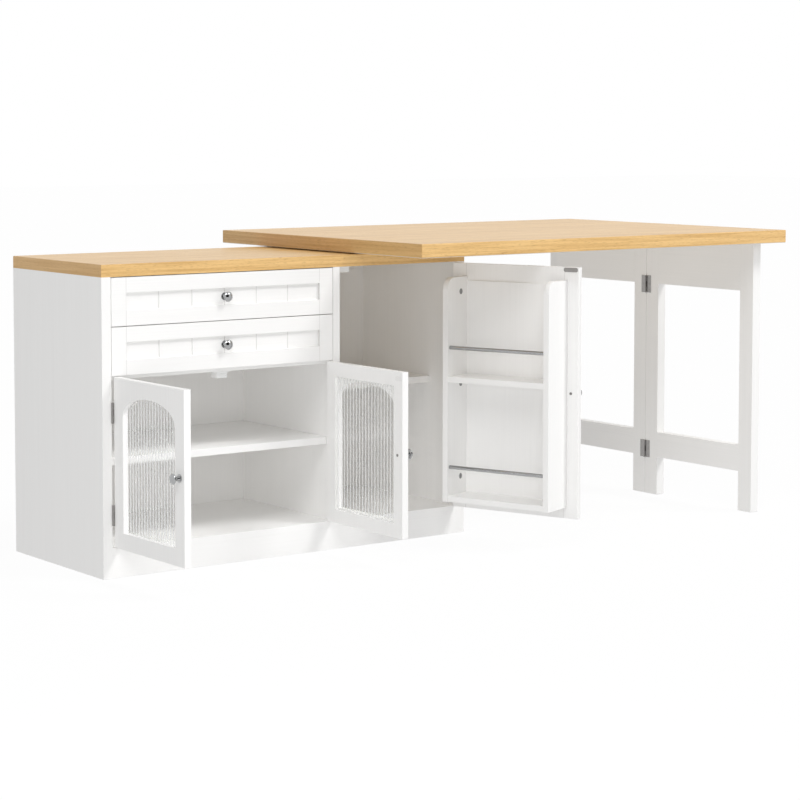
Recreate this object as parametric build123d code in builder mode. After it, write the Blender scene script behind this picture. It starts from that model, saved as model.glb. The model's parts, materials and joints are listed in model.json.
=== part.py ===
from build123d import *
from math import cos, radians, sin
import os

# Bar cabinet with a swivelling table on its right half, in millimetres.
# +X runs along the cabinet to the table's far end, +Y to the back and +Z up. The floor is z = 0.
# Every door is modelled closed and swung about its own hinge line to where it rests, standing open.

# Cabinet body
cabinet_width = 1088.0
cabinet_depth = 450.0
cabinet_height = 750.0  # over its oak top
cabinet_top_thickness = 30.0
side_thickness = 25.0
partition_thickness = 20.0
right_bay_width = 376.5
board_thickness = 18.0  # floor, shelves, divider, doors and drawer fronts
plinth_height = 55.5
back_thickness = 5.0
back_inset = 22.0  # from the rear edge of the sides to the back panel
back_groove_depth = 5.5
reveal_gap = 1.8  # round every door and drawer front
pair_door_height = 407.2
divider_setback = 20.0
divider_drop = 8.5  # from the glass doors' top edges to the divider's underside
left_shelf_height = 267.0
left_shelf_setback = 30.0
right_shelf_height = 390.0
right_shelf_clearance = 2.0  # behind the closed door's rack
shelf_side_gap = 0.5
oak_edge = 1.5  # chamfer that eases the oak boards' edges
cut_overshoot = 1.0  # past a face, so that a cut opens it

# Shelf pins
pin_radius = 2.5
pin_in_panel = 8.0
pin_under_shelf = 9.0
pin_hole_play = 0.05
pin_inset = 36.0  # from a shelf's front and rear edges

# Magnetic catches and their strike plates
catch_width = 30.0
catch_ear = 7.0  # of the foot, past each end of the housing
catch_foot_thickness = 2.0
catch_height = 16.0
catch_depth = 26.0
catch_groove = 2.0
catch_groove_depth = 1.2
catch_low_groove = 3.1  # above the housing's underside
catch_high_groove = 8.7
catch_groove_end = 4.5
catch_gap = 0.3
tall_catch_inset = 6.0  # from the partition to the foot of the tall door's catch
strike_height = 11.0
strike_corner_radius = 4.5
strike_edge = 2.0  # from the door's free edge
strike_drop = 2.8  # from the ceiling that the catch hangs from
strike_thickness = 1.0
pair_strike_width = 26.0
tall_strike_width = 40.0

# Door and drawer fronts
stile_width = 40.0
rail_width = 37.0
recess_depth = 6.0
plank_count = 6
v_groove_width = 3.0
v_groove_depth = 1.5
front_edge_radius = 0.8

# Arched glass doors
glass_stile_width = 41.0
glass_bottom_rail = 40.0
arch_top_margin = 39.0  # from the door's top edge to the crown of the arch
arch_rise = 49.0
reveal_depth = 12.0  # from the outer face to the glass
rebate_margin = 35.0  # from the door's edges to the rebate
glass_play = 0.5
glass_thickness = 5.0
flute_count = 19
flute_depth = 1.4

# Knobs
knob_height = 25.0
knob_radius = 12.5
knob_rim_drop = 7.0  # from the crown to the widest line
knob_base_radius = 9.5
knob_base_height = 1.6
knob_neck_foot = 6.0  # radius of the neck where it stands on the base
knob_neck_radius = 4.6  # at the waist
knob_neck_height = 7.5  # from the base to the waist
knob_shoulder_radius = 6.4
knob_shoulder_drop = 4.0  # from the widest line to where the neck opens out
knob_underside_slope = 0.4  # inward for each step back from the widest line
knob_edge_distance = 20.0  # from a door's free edge

# Butt hinges
hinge_height = 50.0
hinge_leaf_width = 16.0
hinge_leaf_thickness = 1.0
hinge_barrel_radius = 2.6
hinge_pin_radius = 1.3
hinge_pin_play = 0.05
hinge_proud = 3.2  # from the cabinet's front face to the hinge line
hinge_end_gap = 0.4  # between neighbouring knuckles
hinge_from_bottom = 77.0
hinge_from_top = 85.0
pair_door_rest = 90.0
tall_door_rest = 110.0

# Drawers
drawer_side_thickness = 12.0
drawer_headroom = 17.0  # from the box's upper edge to the front's
drawer_panel_height = 42.0  # of the recess in a drawer front
drawer_side_length = 380.0
drawer_lift = 14.0  # from the front's lower edge to the box
drawer_bottom_thickness = 5.0
drawer_bottom_height = 10.0  # above the box's lower edge
drawer_groove_depth = 5.0
drawer_groove_play = 0.2

# Drawer runners
runner_space = 13.0  # between the drawer box and the cabinet, each side
runner_height = 35.0
runner_length = 370.0
runner_wall = 1.2
runner_flange = 10.5
runner_play = 0.3

# Rack inside the tall door
rack_width = 313.0
rack_depth = 98.0
rack_board = 15.0
rack_from_door_bottom = 28.7
rack_from_door_top = 33.2
rack_corner_radius = 30.0
rack_back_thickness = 5.0
rack_back_drop = 11.0  # from the rack's upper end to its back's
rack_shelf_rise = 296.0  # between the two shelves
rack_setback = 2.0
rack_rod_radius = 5.0
rack_rod_rise = 74.5  # from a shelf's upper face to the rod's middle
rack_rod_inset = 12.0  # from the rack's front edge to the rod's middle
rack_rod_socket = 5.0
cam_radius = 7.5
cam_depth = 12.0
cam_from_door = 34.0  # from the door's inner face to a cam's middle
cam_from_rack_bottom = 60.0
cam_under_shelf = 8.0
cam_from_rack_top = 38.0
cam_slot_length = 11.0
cam_slot_width = 1.6
cam_slot_depth = 1.5

# Table top and the pivot that it swivels on
table_length = 1266.0
table_width = 909.0
table_thickness = 35.0
table_overlap = 356.0  # of the table over the cabinet
table_front_overhang = 283.0  # in front of the cabinet
table_gap = 3.0  # between the two oak boards
pivot_from_table_end = 158.0
pivot_radius = 7.0
pivot_play = 0.05
pivot_head_radius = 16.0
pivot_head_height = 4.0
pivot_bush_wall = 4.0
pivot_bush_length = 28.0
pivot_end_gap = 2.0
glide_radius = 15.0
glide_spacing_x = 170.0
glide_spacing_y = 150.0
glide_recess = 1.0  # let into the oak, so that the turning table can't drag a pad off
glide_play = 0.3

# Folding leg frame
leg_width = 50.0
leg_thickness = 28.0
leg_edge = 1.0
leaf_width = 430.0
leaf_gap = 1.0
near_leaf_inset = 45.0  # from the table's front edge
frame_from_table_end = 52.5
top_rail_height = 135.5
low_rail_bottom = 111.0
low_rail_height = 73.0
near_leaf_drop = 1.0  # between the folding leaf and the table
fold_hinge_leaf = 19.0
fold_hinge_proud = 3.2
fold_hinge_rise = 20.5  # from the lower rail's underside to the lower hinge's middle
fold_hinge_drop = 138.0  # from the table's underside to the upper hinge's middle
bracket_size = 30.0
bracket_width = 20.0
bracket_wall = 2.0
bracket_count = 3

# Places that follow from the sizes above
tall_door_width = right_bay_width - 2 * reveal_gap
rack_far_side = (reveal_gap + tall_door_width + rack_width) / 2  # from the door's hinge line
rack_face = hinge_proud + board_thickness + rack_depth  # also from the hinge line, door shut
opened = radians(tall_door_rest)
front_reach = hinge_proud + rack_far_side * sin(opened) - rack_face * cos(opened)
back_reach = table_width - table_front_overhang
left = -(cabinet_width - table_overlap + table_length) / 2
front = (front_reach - back_reach) / 2
right = left + cabinet_width
back = front + cabinet_depth
bay_left = left + side_thickness
bay_right = right - side_thickness
partition_right = bay_right - right_bay_width
partition_left = partition_right - partition_thickness
left_bay_middle = (bay_left + partition_left) / 2
back_face = back - back_inset - back_thickness
floor_top = plinth_height + board_thickness
carcase_top = cabinet_height - cabinet_top_thickness
front_bottom = floor_top + reveal_gap
front_top = carcase_top - reveal_gap
pair_door_width = (partition_left - bay_left - 3 * reveal_gap) / 2
pair_door_top = front_bottom + pair_door_height
drawer_front_height = (front_top - pair_door_top - 2 * reveal_gap) / 2
drawer_side_height = drawer_front_height - drawer_lift - drawer_headroom
drawer_rail_width = (drawer_front_height - drawer_panel_height) / 2
rack_bottom_height = front_bottom + rack_from_door_bottom
rack_top_height = front_top - rack_from_door_top
rack_shelf_height = rack_bottom_height + rack_board + rack_shelf_rise
rack_back_top = rack_top_height - rack_back_drop
rack_board_heights = (rack_bottom_height, rack_shelf_height)
rack_rod_heights = [low + rack_board + rack_rod_rise for low in rack_board_heights]
cam_heights = (
    rack_bottom_height + cam_from_rack_bottom,
    rack_shelf_height - cam_under_shelf,
    rack_top_height - cam_from_rack_top,
)
divider_bottom = pair_door_top - divider_drop
hinge_line_y = front - hinge_proud
left_hinge_x = bay_left + reveal_gap / 2
pair_hinge_x = partition_left - reveal_gap / 2
tall_hinge_x = bay_right - reveal_gap / 2
hinge_play = reveal_gap / 2
pair_hinges = (front_bottom + hinge_from_bottom, pair_door_top - hinge_from_top)
tall_hinges = (front_bottom + hinge_from_bottom, front_top - hinge_from_top)
door_inside = front + board_thickness
catch_y = door_inside + strike_thickness + catch_gap
table_left = right - table_overlap
table_right = table_left + table_length
table_front = front - table_front_overhang
table_middle = table_front + table_width / 2
table_bottom = cabinet_height + table_gap
pivot_x = table_left + pivot_from_table_end
frame_face = table_right - frame_from_table_end - leg_thickness
near_leaf_front = table_front + near_leaf_inset
fold_line_y = near_leaf_front + leaf_width + leaf_gap / 2
fold_line_x = frame_face - fold_hinge_proud
fold_hinge_centres = (low_rail_bottom + fold_hinge_rise, table_bottom - fold_hinge_drop)

os.makedirs("parts", exist_ok=True)


def finish(piece, node, swing=None):
    """Swing a door's piece from closed to where it rests, name it and write it."""
    if swing:
        line_x, angle = swing
        hinge_line = Axis((line_x, hinge_line_y, 0), (0, 0, 1))
        piece.part = piece.part.rotate(hinge_line, angle)
    piece.part.label = node
    export_step(piece.part, f"parts/{node}.step")


def slab(x, y, z):
    """A board between three pairs of low and high places, added to the piece being made."""
    with BuildSketch(Plane.XY.offset(z[0])) as outline:
        with Locations(((x[0] + x[1]) / 2, (y[0] + y[1]) / 2)):
            Rectangle(x[1] - x[0], y[1] - y[0])
    extrude(outline.sketch, amount=z[1] - z[0])


def slab_cut(x, y, z):
    """The same between three pairs of places, cut out of the piece being made."""
    with BuildSketch(Plane.XY.offset(z[0])) as outline:
        with Locations(((x[0] + x[1]) / 2, (y[0] + y[1]) / 2)):
            Rectangle(x[1] - x[0], y[1] - y[0])
    extrude(outline.sketch, amount=z[1] - z[0], mode=Mode.SUBTRACT)


def hinge_mortises(face_x, into, heights):
    """Pockets for hinge leaves in an upright face; into is +1 where the wood lies on the +X side."""
    deep = face_x + into * hinge_leaf_thickness
    x = (min(face_x, deep), max(face_x, deep))
    for height in heights:
        low = height - hinge_height / 2
        slab_cut(x, (front - cut_overshoot, front + hinge_leaf_width), (low, low + hinge_height))


def pin_places(shelf_front, shelf_bottom):
    """Front and rear places of the pins under a shelf, as (y, z)."""
    rear = back_face - shelf_side_gap - pin_inset
    return [(y, shelf_bottom - pin_radius) for y in (shelf_front + pin_inset, rear)]


def pin_holes(face_x, into, places):
    """Blind holes for shelf pins, bored from an upright face along X."""
    with BuildSketch(Plane(origin=(face_x, 0, 0), x_dir=(0, 1, 0), z_dir=(1, 0, 0))) as holes:
        with Locations(*places):
            Circle(pin_radius + pin_hole_play)
    extrude(holes.sketch, amount=into * pin_in_panel, mode=Mode.SUBTRACT)


left_pins = pin_places(front + left_shelf_setback, left_shelf_height)
right_shelf_setback = board_thickness + rack_depth + right_shelf_clearance
right_pins = pin_places(front + right_shelf_setback, right_shelf_height)

# Side panels, partition and fixed boards
with BuildPart() as left_side:
    slab((left, bay_left), (front, back), (0, carcase_top))
    slab_cut(
        (bay_left - back_groove_depth, bay_left),
        (back_face, back_face + back_thickness),
        (plinth_height, carcase_top),
    )
    hinge_mortises(bay_left, -1, pair_hinges)
    pin_holes(bay_left, -1, left_pins)
finish(left_side, "left_side_panel")

with BuildPart() as right_side:
    slab((bay_right, right), (front, back), (0, carcase_top))
    slab_cut(
        (bay_right, bay_right + back_groove_depth),
        (back_face, back_face + back_thickness),
        (plinth_height, carcase_top),
    )
    hinge_mortises(bay_right, 1, tall_hinges)
    pin_holes(bay_right, 1, right_pins)
finish(right_side, "right_side_panel")

with BuildPart() as partition:
    slab((partition_left, partition_right), (front, back_face), (floor_top, carcase_top))
    hinge_mortises(partition_left, 1, pair_hinges)
    pin_holes(partition_left, 1, left_pins)
    pin_holes(partition_right, -1, right_pins)
finish(partition, "centre_partition")

with BuildPart() as floor:
    slab((bay_left, bay_right), (front, back_face), (plinth_height, floor_top))
finish(floor, "floor_panel")

with BuildPart() as plinth:
    slab((bay_left, bay_right), (front, front + board_thickness), (0, plinth_height))
finish(plinth, "plinth_board")

with BuildPart() as rear_rail:
    slab((bay_left, bay_right), (back_face - board_thickness, back_face), (0, plinth_height))
finish(rear_rail, "rear_plinth_rail")

with BuildPart() as back_panel:
    slab(
        (bay_left - back_groove_depth, bay_right + back_groove_depth),
        (back_face, back_face + back_thickness),
        (plinth_height, carcase_top),
    )
finish(back_panel, "back_panel")

with BuildPart() as divider:
    slab(
        (bay_left, partition_left),
        (front + divider_setback, back_face),
        (divider_bottom, divider_bottom + board_thickness),
    )
finish(divider, "drawer_divider")

with BuildPart() as cabinet_top:
    slab((left, right), (front, back), (carcase_top, cabinet_height))
    chamfer(cabinet_top.edges().group_by(Axis.Z)[-1], oak_edge)
    with Locations((pivot_x, table_middle, cabinet_height)):
        Hole(pivot_radius + pivot_play)
        with GridLocations(glide_spacing_x, glide_spacing_y, 2, 2):
            Hole(glide_radius + pin_hole_play, depth=glide_recess)
finish(cabinet_top, "cabinet_top")

# Shelves and the pins that carry them
shelves = (
    ("left_shelf", bay_left, partition_left, left_shelf_setback, left_shelf_height, left_pins),
    ("right_shelf", partition_right, bay_right, right_shelf_setback, right_shelf_height, right_pins),
)
for node, x_low, x_high, setback, height, _ in shelves:
    with BuildPart() as shelf:
        slab(
            (x_low + shelf_side_gap, x_high - shelf_side_gap),
            (front + setback, back_face - shelf_side_gap),
            (height, height + board_thickness),
        )
        fillet(shelf.edges().filter_by(Axis.X).group_by(Axis.Y)[0], front_edge_radius)
    finish(shelf, node)

with BuildPart() as shelf_pins:
    for _, x_low, x_high, _, _, places in shelves:
        for face_x, outward in ((x_low, -1), (x_high, 1)):
            wall_end = face_x + outward * pin_in_panel
            with BuildSketch(Plane(origin=(wall_end, 0, 0), x_dir=(0, 1, 0), z_dir=(1, 0, 0))):
                with Locations(*places):
                    Circle(pin_radius)
            extrude(amount=-outward * (pin_in_panel + pin_under_shelf))
finish(shelf_pins, "shelf_pins")

# Magnetic catches: a grooved housing that hangs from a flat foot with an ear at each end
catch_places = (
    (left_bay_middle, divider_bottom),
    (partition_right + tall_catch_inset + catch_ear + catch_width / 2, carcase_top),
)
with BuildPart() as catches:
    for middle, ceiling in catch_places:
        x = (middle - catch_width / 2, middle + catch_width / 2)
        y = (catch_y, catch_y + catch_depth)
        slab((x[0] - catch_ear, x[1] + catch_ear), y, (ceiling - catch_foot_thickness, ceiling))
        slab(x, y, (ceiling - catch_height, ceiling - catch_foot_thickness))
        groove_x = (x[0] + catch_groove_end, x[1] - catch_groove_end)
        for groove in (catch_low_groove, catch_high_groove):
            low = ceiling - catch_height + groove
            slab_cut(groove_x, (catch_y, catch_y + catch_groove_depth), (low, low + catch_groove))
finish(catches, "magnetic_catches")


def butt_leaf(plate_reach, line_gap, own):
    """Half of a butt hinge, its pin on the Z axis and its plate along +Y at +X.

    The plate's inner face is line_gap from the pin's middle. Of the hinge's three knuckles, this
    half has those numbered in own, counted from the bottom.
    """
    length = hinge_height
    knuckle = length / 3
    clear = hinge_barrel_radius + hinge_end_gap
    with BuildPart() as leaf:
        slab(
            (line_gap, line_gap + hinge_leaf_thickness), (clear, plate_reach), (-length / 2, length / 2)
        )
        for index in own:
            low = -length / 2 + index * knuckle + (hinge_end_gap / 2 if index else 0)
            high = -length / 2 + (index + 1) * knuckle - (hinge_end_gap / 2 if index < 2 else 0)
            with BuildSketch(Plane.XY.offset(low)):
                Circle(hinge_barrel_radius)
                with Locations((line_gap + hinge_leaf_thickness / 2, (hinge_pin_radius + clear) / 2)):
                    Rectangle(hinge_leaf_thickness, clear - hinge_pin_radius)
                Circle(hinge_pin_radius + hinge_pin_play, mode=Mode.SUBTRACT)
            extrude(amount=high - low)
    return leaf.part


# Door hinges: the fixed halves lie in the cabinet's mortises, the moving halves in the doors' edges
door_leaf_reach = hinge_proud + hinge_leaf_width
fixed_half = butt_leaf(door_leaf_reach, hinge_play, (0, 2))
moving_half = butt_leaf(door_leaf_reach, hinge_play, (1,))
door_hinges = (
    (left_hinge_x, -1, pair_hinges),
    (pair_hinge_x, 1, pair_hinges),
    (tall_hinge_x, 1, tall_hinges),
)

with BuildPart() as fixed_leaves:
    for line_x, side, heights in door_hinges:
        half = fixed_half if side > 0 else fixed_half.mirror(Plane.YZ)
        for height in heights:
            add(half.moved(Location((line_x, hinge_line_y, height))))
finish(fixed_leaves, "door_hinge_fixed_leaves")

with BuildPart() as hinge_pins:
    for line_x, _, heights in door_hinges:
        for height in heights:
            with BuildSketch(Plane.XY.offset(height - hinge_height / 2)):
                with Locations((line_x, hinge_line_y)):
                    Circle(hinge_pin_radius)
            extrude(amount=hinge_height)
finish(hinge_pins, "door_hinge_pins")


def moving_leaves(node, line_x, side, heights, swing):
    """The halves of a door's hinges that turn with it."""
    half = moving_half.mirror(Plane.YZ) if side > 0 else moving_half
    with BuildPart() as leaves:
        for height in heights:
            add(half.moved(Location((line_x, hinge_line_y, height))))
    finish(leaves, node, swing)


def knob(node, x, y, z, swing=None):
    """A turned knob: a flat base, a waisted neck and a domed head, on a face that looks along -Y."""
    base_edge = (knob_base_height, knob_base_radius)
    neck_foot = (knob_base_height, knob_neck_foot)
    waist = (knob_neck_height, knob_neck_radius)
    rim = (knob_height - knob_rim_drop, knob_radius)
    shoulder = (rim[0] - knob_shoulder_drop, knob_shoulder_radius)
    crown = (knob_height, 0)
    with BuildPart() as turned:
        with BuildSketch(Plane(origin=(x, y, z), x_dir=(0, -1, 0), z_dir=(-1, 0, 0))):
            with BuildLine():
                Polyline(crown, (0, 0), (0, knob_base_radius), base_edge, neck_foot, waist, shoulder)
                TangentArc(rim, shoulder, tangent=(-1, -knob_underside_slope))
                TangentArc(crown, rim, tangent=(0, 1))
            make_face()
        revolve(axis=Axis((x, y, z), (0, -1, 0)))
    finish(turned, node, swing)


def shaker_front(x, z, rail):
    """A routed front: a recessed panel inside a flat frame, with V grooves between its planks."""
    slab(x, (front, front + board_thickness), z)
    fillet(edges().group_by(Axis.Y)[0], front_edge_radius)
    panel_x = (x[0] + stile_width, x[1] - stile_width)
    panel_z = (z[0] + rail, z[1] - rail)
    slab_cut(panel_x, (front, front + recess_depth), panel_z)
    plank = (panel_x[1] - panel_x[0]) / plank_count
    with BuildSketch(Plane.XY.offset(panel_z[0])) as grooves:
        for index in range(1, plank_count):
            with Locations((panel_x[0] + index * plank, front + recess_depth)):
                Triangle(
                    a=v_groove_width,
                    b=(v_groove_width**2 / 4 + v_groove_depth**2) ** 0.5,
                    c=(v_groove_width**2 / 4 + v_groove_depth**2) ** 0.5,
                    align=(Align.CENTER, Align.MIN),
                )
    extrude(grooves.sketch, amount=panel_z[1] - panel_z[0], mode=Mode.SUBTRACT)


def runner_channel(web_x, opening, z_middle, height):
    """A steel channel along Y; opening is +1 where its flanges point to +X."""
    x = sorted((web_x, web_x + opening * runner_flange))
    open_side = web_x + opening * (runner_flange + cut_overshoot)
    inside = sorted((web_x + opening * runner_wall, open_side))
    y = (front + divider_setback, front + divider_setback + runner_length)
    z = (z_middle - height / 2, z_middle + height / 2)
    slab(x, y, z)
    slab_cut(inside, y, (z[0] + runner_wall, z[1] - runner_wall))


# Drawers and their runners
drawer_bottoms = {
    "lower_drawer": pair_door_top + reveal_gap,
    "upper_drawer": pair_door_top + 2 * reveal_gap + drawer_front_height,
}
runner_middle = drawer_lift + drawer_side_height / 2
inner_runner_height = runner_height - 2 * (runner_wall + runner_play)

with BuildPart() as fixed_runners:
    for low in drawer_bottoms.values():
        runner_channel(bay_left, 1, low + runner_middle, runner_height)
        runner_channel(partition_left, -1, low + runner_middle, runner_height)
finish(fixed_runners, "drawer_runners")

front_x = (bay_left + reveal_gap, partition_left - reveal_gap)
box_x = (bay_left + runner_space, partition_left - runner_space)
inner_x = (box_x[0] + drawer_side_thickness, box_x[1] - drawer_side_thickness)
box_front = front + board_thickness
box_back = box_front + drawer_side_length
groove_x = (inner_x[0] - drawer_groove_depth, inner_x[1] + drawer_groove_depth)
groove_y = (box_front - drawer_groove_depth, box_back - drawer_side_thickness + drawer_groove_depth)

for drawer, low in drawer_bottoms.items():
    box_z = (low + drawer_lift, low + drawer_lift + drawer_side_height)
    panel_low = box_z[0] + drawer_bottom_height
    panel_z = (panel_low, panel_low + drawer_bottom_thickness)
    groove_z = (panel_low - drawer_groove_play, panel_z[1] + drawer_groove_play)

    with BuildPart() as drawer_front:
        shaker_front(front_x, (low, low + drawer_front_height), drawer_rail_width)
        slab_cut(groove_x, groove_y, groove_z)
    finish(drawer_front, f"{drawer}_front")

    with BuildPart() as drawer_sides:
        slab((box_x[0], inner_x[0]), (box_front, box_back), box_z)
        slab((inner_x[1], box_x[1]), (box_front, box_back), box_z)
        slab_cut(groove_x, groove_y, groove_z)
    finish(drawer_sides, f"{drawer}_sides")

    with BuildPart() as drawer_back:
        slab(inner_x, (box_back - drawer_side_thickness, box_back), box_z)
        slab_cut(groove_x, groove_y, groove_z)
    finish(drawer_back, f"{drawer}_back")

    with BuildPart() as drawer_bottom:
        slab(groove_x, groove_y, panel_z)
    finish(drawer_bottom, f"{drawer}_bottom")

    with BuildPart() as drawer_slides:
        runner_channel(box_x[0], -1, low + runner_middle, inner_runner_height)
        runner_channel(box_x[1], 1, low + runner_middle, inner_runner_height)
    finish(drawer_slides, f"{drawer}_slides")

    knob(
        f"{drawer}_knob",
        (front_x[0] + front_x[1]) / 2,
        front + recess_depth,
        low + drawer_front_height / 2,
    )


def glass_door(name, x, side, line_x, swing):
    """An arched door with its fluted pane; side is +1 where the hinges are on its right edge."""
    z = (front_bottom, pair_door_top)
    middle = (x[0] + x[1]) / 2
    half = (x[1] - x[0]) / 2 - glass_stile_width
    sill = z[0] + glass_bottom_rail
    spring = z[1] - arch_top_margin - arch_rise
    hinge_edge = x[1] if side > 0 else x[0]
    free_edge = x[0] if side > 0 else x[1]
    rebate_x = (x[0] + rebate_margin, x[1] - rebate_margin)
    rebate_z = (z[0] + rebate_margin, z[1] - rebate_margin)
    glass_y = front + reveal_depth

    with BuildPart() as frame:
        slab(x, (front, door_inside), z)
        fillet(frame.edges().group_by(Axis.Y)[0], front_edge_radius)
        with BuildSketch(Plane.XZ.offset(-front)):
            with BuildLine():
                Polyline((middle - half, spring), (middle - half, sill), (middle + half, sill))
                Line((middle + half, sill), (middle + half, spring))
                EllipticalCenterArc((middle, spring), half, arch_rise, start_angle=0, arc_size=180)
            make_face()
        extrude(amount=-board_thickness, mode=Mode.SUBTRACT)
        slab_cut(rebate_x, (glass_y, door_inside), rebate_z)
        hinge_mortises(hinge_edge, -side, pair_hinges)
    finish(frame, f"{name}_frame", swing)

    pane_x = (rebate_x[0] + glass_play, rebate_x[1] - glass_play)
    flute = (pane_x[1] - pane_x[0]) / flute_count
    valley = glass_y + flute_depth
    with BuildPart() as pane:
        with BuildSketch(Plane.XY.offset(rebate_z[0] + glass_play)):
            with BuildLine():
                for index in range(flute_count):
                    start = pane_x[0] + index * flute
                    ThreePointArc((start, valley), (start + flute / 2, glass_y), (start + flute, valley))
                Polyline(
                    (pane_x[1], valley),
                    (pane_x[1], glass_y + glass_thickness),
                    (pane_x[0], glass_y + glass_thickness),
                    (pane_x[0], valley),
                )
            make_face()
        extrude(amount=rebate_z[1] - rebate_z[0] - 2 * glass_play)
    finish(pane, f"{name}_glass", swing)

    knob(f"{name}_knob", free_edge + side * knob_edge_distance, front, (z[0] + z[1]) / 2, swing)
    strike_start = free_edge + side * strike_edge
    strike_x = (strike_start, strike_start + side * pair_strike_width)
    strike_plate(f"{name}_strike", strike_x, divider_bottom, swing)
    moving_leaves(f"{name}_hinge_leaves", line_x, side, pair_hinges, swing)


def strike_plate(node, ends, ceiling, swing):
    """A thin steel plate with round corners, on a door's inner face where its catch meets it."""
    middle_z = ceiling - strike_drop - strike_height / 2
    with BuildPart() as plate:
        with BuildSketch(Plane.XZ.offset(-door_inside)):
            with Locations(((ends[0] + ends[1]) / 2, middle_z)):
                RectangleRounded(abs(ends[1] - ends[0]), strike_height, strike_corner_radius)
        extrude(amount=-strike_thickness)
    finish(plate, node, swing)


# Pair of arched glass doors
left_door_x = (bay_left + reveal_gap, bay_left + reveal_gap + pair_door_width)
right_door_x = (partition_left - reveal_gap - pair_door_width, partition_left - reveal_gap)
glass_door("left_door", left_door_x, -1, left_hinge_x, (left_hinge_x, -pair_door_rest))
glass_door("right_door", right_door_x, 1, pair_hinge_x, (pair_hinge_x, pair_door_rest))

# Tall door
tall_swing = (tall_hinge_x, tall_door_rest)
tall_x = (partition_right + reveal_gap, partition_right + reveal_gap + tall_door_width)
tall_middle = (tall_x[0] + tall_x[1]) / 2

with BuildPart() as tall_panel:
    shaker_front(tall_x, (front_bottom, front_top), rail_width)
    hinge_mortises(tall_x[1], -1, tall_hinges)
finish(tall_panel, "tall_door_panel", tall_swing)

knob(
    "tall_door_knob",
    tall_x[0] + knob_edge_distance,
    front,
    (front_bottom + front_top) / 2,
    tall_swing,
)
tall_strike_x = (tall_x[0] + strike_edge, tall_x[0] + strike_edge + tall_strike_width)
strike_plate("tall_door_strike", tall_strike_x, carcase_top, tall_swing)
moving_leaves("tall_door_hinge_leaves", tall_hinge_x, 1, tall_hinges, tall_swing)

# Rack on the tall door
rack_x = (tall_middle - rack_width / 2, tall_middle + rack_width / 2)
rack_inner_x = (rack_x[0] + rack_board, rack_x[1] - rack_board)
rack_front = door_inside + rack_depth
rod_y = rack_front - rack_rod_inset
cam_y = door_inside + cam_from_door
side_inner_faces = ((rack_inner_x[0], -1), (rack_inner_x[1], 1))

with BuildPart() as rack_sides:
    for x in ((rack_x[0], rack_inner_x[0]), (rack_inner_x[1], rack_x[1])):
        slab(x, (door_inside, rack_front), (rack_bottom_height, rack_top_height))
    corner = rack_sides.edges().filter_by(Axis.X).group_by(Axis.Z)[-1].group_by(Axis.Y)[-1]
    fillet(corner, rack_corner_radius)
    for face_x, into in side_inner_faces:
        with BuildSketch(Plane(origin=(face_x, 0, 0), x_dir=(0, 1, 0), z_dir=(1, 0, 0))):
            with Locations(*[(rod_y, height) for height in rack_rod_heights]):
                Circle(rack_rod_radius + pin_hole_play)
        extrude(amount=into * rack_rod_socket, mode=Mode.SUBTRACT)
        with BuildSketch(Plane(origin=(face_x, 0, 0), x_dir=(0, 1, 0), z_dir=(1, 0, 0))):
            with Locations(*[(cam_y, height) for height in cam_heights]):
                Circle(cam_radius + pin_hole_play)
        extrude(amount=into * cam_depth, mode=Mode.SUBTRACT)
finish(rack_sides, "rack_sides", tall_swing)

with BuildPart() as rack_back:
    slab(
        rack_inner_x,
        (door_inside, door_inside + rack_back_thickness),
        (rack_bottom_height, rack_back_top),
    )
finish(rack_back, "rack_back", tall_swing)

with BuildPart() as rack_boards:
    for low in rack_board_heights:
        slab(
            rack_inner_x,
            (door_inside + rack_back_thickness, rack_front - rack_setback),
            (low, low + rack_board),
        )
finish(rack_boards, "rack_shelves", tall_swing)

with BuildPart() as rack_rods:
    rod_start = rack_inner_x[0] - rack_rod_socket
    with BuildSketch(Plane(origin=(rod_start, 0, 0), x_dir=(0, 1, 0), z_dir=(1, 0, 0))):
        with Locations(*[(rod_y, height) for height in rack_rod_heights]):
            Circle(rack_rod_radius)
    extrude(amount=rack_inner_x[1] - rack_inner_x[0] + 2 * rack_rod_socket)
finish(rack_rods, "rack_rods", tall_swing)

with BuildPart() as rack_cams:
    for face_x, into in side_inner_faces:
        cam_plane = Plane(origin=(face_x, 0, 0), x_dir=(0, 1, 0), z_dir=(1, 0, 0))
        with BuildSketch(cam_plane):
            with Locations(*[(cam_y, height) for height in cam_heights]):
                Circle(cam_radius)
        extrude(amount=into * cam_depth)
        with BuildSketch(cam_plane):
            with Locations(*[(cam_y, height) for height in cam_heights]):
                Rectangle(cam_slot_length, cam_slot_width)
                Rectangle(cam_slot_width, cam_slot_length)
        extrude(amount=into * cam_slot_depth, mode=Mode.SUBTRACT)
finish(rack_cams, "rack_cam_locks", tall_swing)

# Pivot between the cabinet and the table
with BuildPart() as pivot_bolt:
    with BuildSketch(Plane.XY.offset(carcase_top - pivot_head_height)):
        with Locations((pivot_x, table_middle)):
            Circle(pivot_head_radius)
    extrude(amount=pivot_head_height)
    with BuildSketch(Plane.XY.offset(carcase_top)):
        with Locations((pivot_x, table_middle)):
            Circle(pivot_radius)
    extrude(amount=table_bottom + pivot_bush_length - pivot_end_gap - carcase_top)
finish(pivot_bolt, "pivot_bolt")

with BuildPart() as glide_pads:
    with BuildSketch(Plane.XY.offset(cabinet_height - glide_recess)):
        with Locations((pivot_x, table_middle)):
            with GridLocations(glide_spacing_x, glide_spacing_y, 2, 2):
                Circle(glide_radius)
    extrude(amount=glide_recess + table_gap - glide_play)
finish(glide_pads, "glide_pads")

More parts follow.
